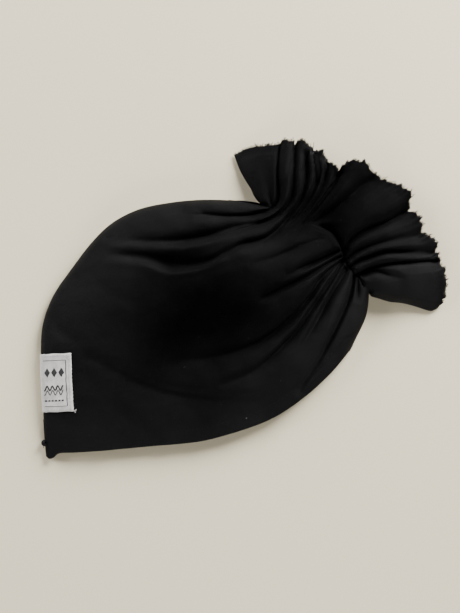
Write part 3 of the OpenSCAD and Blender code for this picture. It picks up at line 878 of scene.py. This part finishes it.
def label_rows(out):
    """The label's surface, wrapped round the fold this far off the hat, in rows across the fold."""
    k = np.concatenate([-LABEL_STEPS[:0:-1], LABEL_STEPS])
    rows = []
    for y in np.linspace(LABEL_LOW, LABEL_HIGH, 34):
        xy = np.stack([fold_x(y) + np.abs(k), label_shift(k, y)], -1)
        front, back = front_height(xy), back_height(xy)
        z = np.where(k > 0, front, np.where(k < 0, back, (front + back) / 2))
        flat = blur(np.stack([np.abs(k), z], -1), 1)
        edge = min(y - LABEL_LOW, LABEL_HIGH - y)
        curl = 0.18 * math.exp(-edge / 0.8)
        raised = 0.35 * np.exp(-((y - LABEL_HIGH) / 0.7) ** 2 - ((k - 13.8) / 0.8) ** 2)
        spot = flat + left_of(flat) * (out + curl + raised)[:, None]
        pull = 0.16 * math.sin(y * 3.59) + 0.08 * math.sin(y * 7.1)
        x = fold_x(y) + spot[:, 0] + pull * smooth(np.abs(k) / LABEL_IN)
        tug = 0.13 * np.sin(k * 3.59) * (1 if y > (LABEL_LOW + LABEL_HIGH) / 2 else -1)
        tug = tug * math.exp(-edge / 0.6)
        rows.append(np.stack([x, label_shift(k, y) + tug, np.maximum(spot[:, 1], 0.03)], -1))
    return np.array(rows)


LABEL_AIR = 0.1         # between the label and the cloth
label_outer = label_rows(LABEL_AIR + LABEL_THICK)
verts, quads, uv = thick_sheet(label_outer, label_rows(LABEL_AIR))
label = piece("label_band", verts, quads, ribbon, uv)


def on_label(k, y, up):
    """Place on the label's upper face, k in from the fold and y along it."""
    row = np.clip((y - LABEL_LOW) / (LABEL_HIGH - LABEL_LOW), 0, 1) * (len(label_outer) - 1)
    low = np.minimum(row.astype(int), len(label_outer) - 2)
    part = (row - low)[:, None]
    upper_face = label_outer[:, len(LABEL_STEPS) - 1:]

    def at(index):
        rows = [[np.interp(kk, LABEL_STEPS, upper_face[i, :, axis]) for axis in range(3)]
                for kk, i in zip(k, index)]
        return np.array(rows)
    spot = at(low) * (1 - part) + at(low + 1) * part
    spot[:, 2] += up
    return spot


def woven_line(points, width, pointed=False):
    """Flat line woven into the label, just proud of it; pointed ones taper to both ends."""
    p = at_share(np.array(points, float), np.linspace(0, 1, max(4, int(len(points) * 9))))
    side = left_of(p) * width / 2
    if pointed:
        side *= (1.04 - np.abs(np.linspace(-1, 1, len(p))))[:, None]
    strands = [p + side * f for f in np.linspace(-1, 1, 9 if width > 1 else 2)]
    top = np.stack([on_label(*strand.T, 0.05) for strand in strands], 1)
    low = np.stack([on_label(*strand.T, -0.06) for strand in strands], 1)
    return thick_sheet(top, low)[:2]


# plain border and three rows of ornament: diamonds, two waves and dashes
FRAME_K = LABEL_IN - 3.1
frame_low = LABEL_LOW + 3
frame_high = LABEL_HIGH - 3.6
lines = [woven_line([(1.8, frame_high), (FRAME_K, frame_high)], 0.3),
         woven_line([(FRAME_K, frame_high), (FRAME_K, frame_low)], 0.42),
         woven_line([(FRAME_K, frame_low), (1.8, frame_low)], 0.3)]
for k in (4.0, 7.9, 11.8):
    lines.append(woven_line([(k, -42), (k, -37)], 3.2, pointed=True))
wave_k = np.linspace(1.9, 12.6, 60)
for y, width in ((-47.9, 0.8), (-50.3, 0.5)):
    lines.append(woven_line(np.stack([wave_k, y + 1.2 * np.sin(wave_k * 2.15)], -1), width))
for k in 2.0 + 1.85 * np.arange(6):
    lines.append(woven_line([(k, -54.6), (k + 1.2, -54.6)], 0.9))
label_pattern = bundle("label_woven_pattern", lines, pattern_thread)

# running stitches that hold the label, and the loose threads at its lower corner
STITCH = 1.15
STITCH_PITCH = 1.75
STITCH_ARCH = np.array([-0.1, 0.06, 0.09, 0.06, -0.1])


def label_stitch(k, y, along_k, along_y):
    f = np.linspace(0, STITCH, 5)
    return tube(on_label(k + f * along_k, y + f * along_y, STITCH_ARCH), 0.14)


stitches = [label_stitch(LABEL_IN - 1.35, y, 0, 1)
            for y in np.arange(LABEL_LOW + 1.4, LABEL_HIGH - 1.6, STITCH_PITCH)]
for y in (LABEL_LOW + 1.2, LABEL_HIGH - 1.3):
    stitches += [label_stitch(k, y, 1, 0) for k in np.arange(2.6, LABEL_IN - 2.4, STITCH_PITCH)]
corner = on_label(np.array([LABEL_IN]), np.array([LABEL_LOW + 0.5]), 0.05)[0]
for _ in range(9):
    way, square = heading(math.radians(rng.uniform(-75, 25)))
    length = rng.uniform(0.9, 2.3)
    bend = rng.uniform(-0.5, 0.5)
    f = np.linspace(0, 1, 6)[:, None]
    xy = corner[:2] + f * length * way + f ** 2 * bend * square
    z = front_height(xy) + 0.18 + 0.25 * np.sin(f[:, 0] * 3)
    z[0] = max(z[0], corner[2])
    stitches.append(tube(np.column_stack([xy, z]), 0.07, 4))
label_stitches = bundle("label_stitches", stitches, label_thread)

# ---- mouth topstitching
hem_length = along_line(hem)[-1]
hem_points = at_share(hem, np.linspace(0, 1, 400))
stitch_line = hem_points + left_of(hem_points) * HEM_STITCH
HEM_PITCH = 2.7
HEM_STITCH_LONG = 1.9


def hem_row(height, sign, start, sunk):
    """Row of short stitches parallel to the mouth edge, half sunk in the cloth."""
    rows = []
    for d in np.arange(start, hem_length - start, HEM_PITCH):
        p = at_share(stitch_line, (d + np.linspace(0, HEM_STITCH_LONG, 6)) / hem_length)
        z = height(p) + sign * (np.array([-0.2, 0.05, 0.12, 0.12, 0.05, -0.2]) - sunk)
        rows.append(tube(np.column_stack([p, np.maximum(z, 0.12)]), 0.16))
    return rows


def turned_in(xy):
    """Inner face of the hem behind the back panel."""
    return back_height(xy) + 2 * HEM_R


hem_front = bundle("hem_stitches_front", hem_row(front_height, 1, 6, 0.04), black_thread)
hem_back = bundle("hem_stitches_back",
                  hem_row(back_height, -1, 6, 0) + hem_row(turned_in, 1, 7, 0), black_thread)


# ---- seam allowances
SEAM_THICK = 0.7
WINDS = 150             # turns of the overlock thread


def seam_strip(name, line, v0, v1, near, wide, base):
    """Sewn allowance inside a side fold, with the overlock thread that binds its edge."""
    v = np.linspace(v0, v1, 60)
    p = at_share(line, v)
    inward = left_of(p) * (1 if line is hat_right else -1)
    rows = []
    for d in np.linspace(near, near + wide, 5):
        xy = p + inward * d + 0.25 * np.sin(v * 41 + d)[:, None] * inward
        rows.append(np.column_stack([xy, back_height(xy) + base + 0.15 * np.sin(v * 60)]))
    top = np.array(rows if line is hat_right else rows[::-1])
    verts, quads, _ = thick_sheet(top, top - np.array([0, 0, SEAM_THICK]))
    f = np.linspace(0, 1, WINDS * 6)
    turn = f * WINDS * 2 * math.pi
    free_edge = at_value(np.column_stack([np.linspace(0, 1, len(v)), rows[-1], inward]), f)
    thread = free_edge[:, :3]
    thread[:, :2] += free_edge[:, 3:] * (np.cos(turn) * 1.1 - 1.0)[:, None]
    thread[:, 2] += np.sin(turn) * 0.5 - 0.35
    verts, quads = join([(verts, quads), tube(thread, 0.12, 4)])
    return piece(name, verts, quads, seam_cloth, verts[:, :2])


# name, node of the design, side fold, its shares at both ends, place in from the fold, width,
# height over the back panel's face
SEAMS = [("seam_outer_left", "outer_left_seam", hat_left, 0.03, 0.93, 1.8, 4.5, 1.55),
         ("seam_outer_right", "outer_right_seam", hat_right, 0.08, 0.72, 1.8, 4.0, 1.55),
         ("seam_lining_left", "lining_left_seam", hat_left, 0.05, 0.90, 5.0, 4.5, 2.9),
         ("seam_lining_right", "lining_right_seam", hat_right, 0.12, 0.66, 5.0, 4.0, 2.9)]
seams = [seam_strip(name, *place) for name, _, *place in SEAMS]

# ---- elastic wound round the neck
ELASTIC = 1.2           # its diameter
TURNS = 3
BITE = 1.7              # its middle lies this far under the tops of the pleats
cords = []
place = at_value(gather, np.linspace(0.028, 0.972, 110))
for i in range(TURNS):
    a_top = place[:, 0]
    s_top = place[:, 1] + (-0.1 - i * (ELASTIC + 0.06)) + 0.8
    tops = np.min([front_height(neck_point(a_top + d, s_top)) for d in (-2.4, -1.2, 0, 1.2, 2.4)],
                  axis=0)
    tops = blur(tops[:, None], 4)
    top = np.hstack([neck_point(a_top, s_top), tops - BITE])
    a_low = np.linspace(a_top[-1], a_top[0], 60)
    bow = np.sin(np.linspace(0, math.pi, 60)) ** 0.5
    s_low = np.linspace(s_top[-1], s_top[0], 60) * (1 - bow) + (-1.2 - i * 1.26) * bow
    low = np.column_stack([neck_point(a_low, s_low), np.full(60, ELASTIC / 2 + 0.08)])
    bends = []
    for first, last, sign in ((top[-1], low[0], 1), (low[-1], top[0], -1)):
        f = np.linspace(0, 1, 14)[1:-1]
        swing = np.sin(f * math.pi)[:, None] * 1.6 * sign * np.append(ALONG, 0)
        bends.append(first + (last - first) * f[:, None] + swing)
    cords.append(tube(np.vstack([top, bends[0], low, bends[1]]), ELASTIC / 2, 8, closed=True))
elastic = bundle("neck_elastic", cords, elastic_mat)

# ---- ball of thread at the seam's end
ball = np.mean([np.array(corner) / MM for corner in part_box("seam_end_knot")], axis=0)
BALL_R = 1.5
BALL_TURNS = 17
f = np.linspace(0, 1, BALL_TURNS * 26)
spin = f * BALL_TURNS * 2 * math.pi
tilt = 0.5 * math.pi * np.sin(f * 7.3)
pole = f * 2.6 * math.pi
radius = BALL_R * (1 + 0.06 * np.sin(f * 91))
x, y, z = np.cos(spin), np.sin(spin) * np.cos(tilt), np.sin(spin) * np.sin(tilt)
winding = np.stack([x * np.cos(pole) - y * np.sin(pole), x * np.sin(pole) + y * np.cos(pole), z], -1)
f = np.linspace(0, 1, 14)
x, y, z = ball
tail = np.column_stack([x + 1.2 + 2.2 * f, y + 0.6 * np.sin(f * 3), z + 0.5 - f])
short_tail = np.column_stack([x - 0.3 - 0.5 * f, y - 1.2 - 1.6 * f, z - 1.4 * f])
verts, quads = join([tube(ball + winding * radius[:, None], 0.27), tube(tail, 0.3),
                     tube(short_tail, 0.18)])
verts[:, 2] = np.maximum(verts[:, 2], 0.03)
knot = piece("seam_end_ball", verts, quads, black_thread)


# ---- raw edges of the frill
def fray(name, edge_grid, count, size, face_sign):
    """Short curled knit threads along a cut edge, the last row of the grid."""
    run = along_line(edge_grid[-1])
    edge, inner = (np.column_stack([run, edge_grid[row]]) for row in (-1, -3))
    parts = []
    for _ in range(count):
        d = rng.uniform(0, run[-1])
        root = at_value(edge, d)
        out = unit(root - at_value(inner, d))
        along = unit(at_value(edge, d + 0.5) - root + 1e-6)
        length = size * rng.uniform(0.35, 1.0) * (1.7 if rng.random() < 0.06 else 1)
        lean = rng.uniform(-0.9, 0.9)
        curl = rng.uniform(-1.2, 1.2)
        rise = rng.uniform(-0.5, 0.7)
        f = np.linspace(0, 1, 5)[:, None]
        line = root - out * 0.25 - np.array([0, 0, face_sign * rng.uniform(0.05, 0.65)])
        line = line + length * (f * out + 0.5 * lean * f * along + 0.45 * curl * f ** 2 * along)
        line = line + np.array([0, 0, 1.0]) * (rise * 0.5 * length * f ** 1.5)
        line[:, 2] = np.maximum(line[:, 2], 0.12)
        parts.append(tube(line, rng.uniform(0.09, 0.17), 4))
    return bundle(name, parts, raw_thread)


fray_front = fray("raw_edge_front", front_body, 900, 1.5, 1)
fray_back = fray("raw_edge_back", back_body, 420, 1.3, -1)
fray_lining = fray("raw_edge_lining", front_lining_grid, 300, 1.0, 1)

# ---- lint on the cloth: one speck seen in the photo and a few hairs
SPECK_AT = (1.5, -63.5)
flecks = []
spots = [SPECK_AT] + [tuple(rng.uniform((-95, -60), (50, 35))) for _ in range(7)]
for k, spot in enumerate(spots):
    spot = np.array(spot)
    if side_distance(spot[None])[0] < 5 or nearest(spot[None], hem)[2][0] < 0:
        continue
    way, square = heading(rng.uniform(0, 2 * math.pi))
    length = 0.5 if k == 0 else rng.uniform(0.3, 0.8)
    bend = rng.uniform(-0.5, 0.5)
    f = np.linspace(-0.5, 0.5, 6)[:, None]
    xy = spot + length * (f * way + bend * f ** 2 * square)
    flecks.append(tube(np.column_stack([xy, front_height(xy) + 0.08]), 0.28 if k == 0 else 0.04, 4))
lint = bundle("lint_flecks", flecks, lint_mat)

# ---- joins with the bodies
for obj in (front_cloth, back_cloth, front_lining, back_lining, elastic):
    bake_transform(obj)
for obj in (label, label_pattern, label_stitches, hem_front, hem_back, knot, lint, *seams):
    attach(obj, "hat")
for obj in (fray_front, fray_back, fray_lining):
    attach(obj, "frill")

# the colour slot of each piece, and the nodes of the design that it stands for
pieces = [(front_cloth, "outer_jersey", "outer_front_panel", "frill_outer_front"),
          (back_cloth, "outer_jersey", "outer_back_panel", "frill_outer_back"),
          (front_lining, "lining_jersey", "lining_front_panel", "frill_lining_front"),
          (back_lining, "lining_jersey", "lining_back_panel", "frill_lining_back"),
          (label, "label_ribbon", "woven_label"), (label_pattern, "label_thread"),
          (label_stitches, "label_thread", "label_stitching"),
          (hem_front, "black_thread", "hem_stitching_front"),
          (hem_back, "black_thread", "hem_stitching_back"),
          (elastic, "elastic_cord", "gather_elastic"), (knot, "black_thread", "seam_end_knot"),
          (fray_front, "black_thread"), (fray_back, "black_thread"),
          (fray_lining, "black_thread"), (lint, "label_thread")]
pieces += [(strip, "overlocked_seam", row[1]) for strip, row in zip(seams, SEAMS)]
for obj, slot, *cad_nodes in pieces:
    if cad_nodes:
        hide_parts(*cad_nodes)

# ---- floor, light and camera
FLOOR = 14              # half the table's width, metres
floor_mat, _, floor_shader = material("pale_table", 0.6, specular=0.25)
floor_shader.inputs["Base Color"].default_value = (0.665, 0.6, 0.44, 1)
floor_corners = np.array([(-1, -1, 0), (1, -1, 0), (1, 1, 0), (-1, 1, 0)]) * FLOOR / MM
floor = piece("floor", floor_corners, [(0, 1, 2, 3)], floor_mat)


def area_light(name, place, size, power, colour):
    """Round lamp that faces the hat."""
    data = bpy.data.lights.new(name, "AREA")
    data.shape = "DISK"
    data.size = size
    data.energy = power
    data.color = colour
    obj = add_object(name, data)
    obj.location = place
    obj.rotation_euler = (-Vector(place)).to_track_quat("-Z", "Y").to_euler()


area_light("window", (0.72, 0.95, 0.50), 0.75, 77.0, (1.0, 0.98, 0.95))
area_light("left_wall", (-1.06, 0.45, 0.33), 0.8, 23.0, (0.98, 0.98, 0.98))
area_light("near_wall", (0.1, -1.15, 0.33), 0.8, 20.0, (1.0, 0.98, 0.95))

# the room: bright round the horizon and darker overhead
world = bpy.data.worlds.new("room")
bpy.context.scene.world = world
world.use_nodes = True
room = world.node_tree
up = node(room, "SeparateXYZ", Vector=node(room, "TexCoord").outputs["Generated"]).outputs[2]
background = room.nodes["Background"]
put(room, background.inputs[0], ramp(room, up, 0.0, 0.62, (1.0, 0.98, 0.95), (0.03, 0.03, 0.03)))
background.inputs[1].default_value = 0.6

CAMERA_UP = 0.62        # height of the camera, metres
VIEW_TALL = 0.3301      # height of the photographed patch of table, metres
PATCH_UP = 0.006        # the patch is measured at this height
SENSOR = 36.0           # millimetres
camera_data = bpy.data.cameras.new("camera")
camera_data.sensor_width = SENSOR
camera_data.lens = SENSOR * (CAMERA_UP - PATCH_UP) / VIEW_TALL
camera_data.clip_start = 0.01
camera_data.clip_end = 20
camera = add_object("camera", camera_data)
camera.location = (-0.0073, -0.0035, CAMERA_UP)
bpy.context.scene.camera = camera
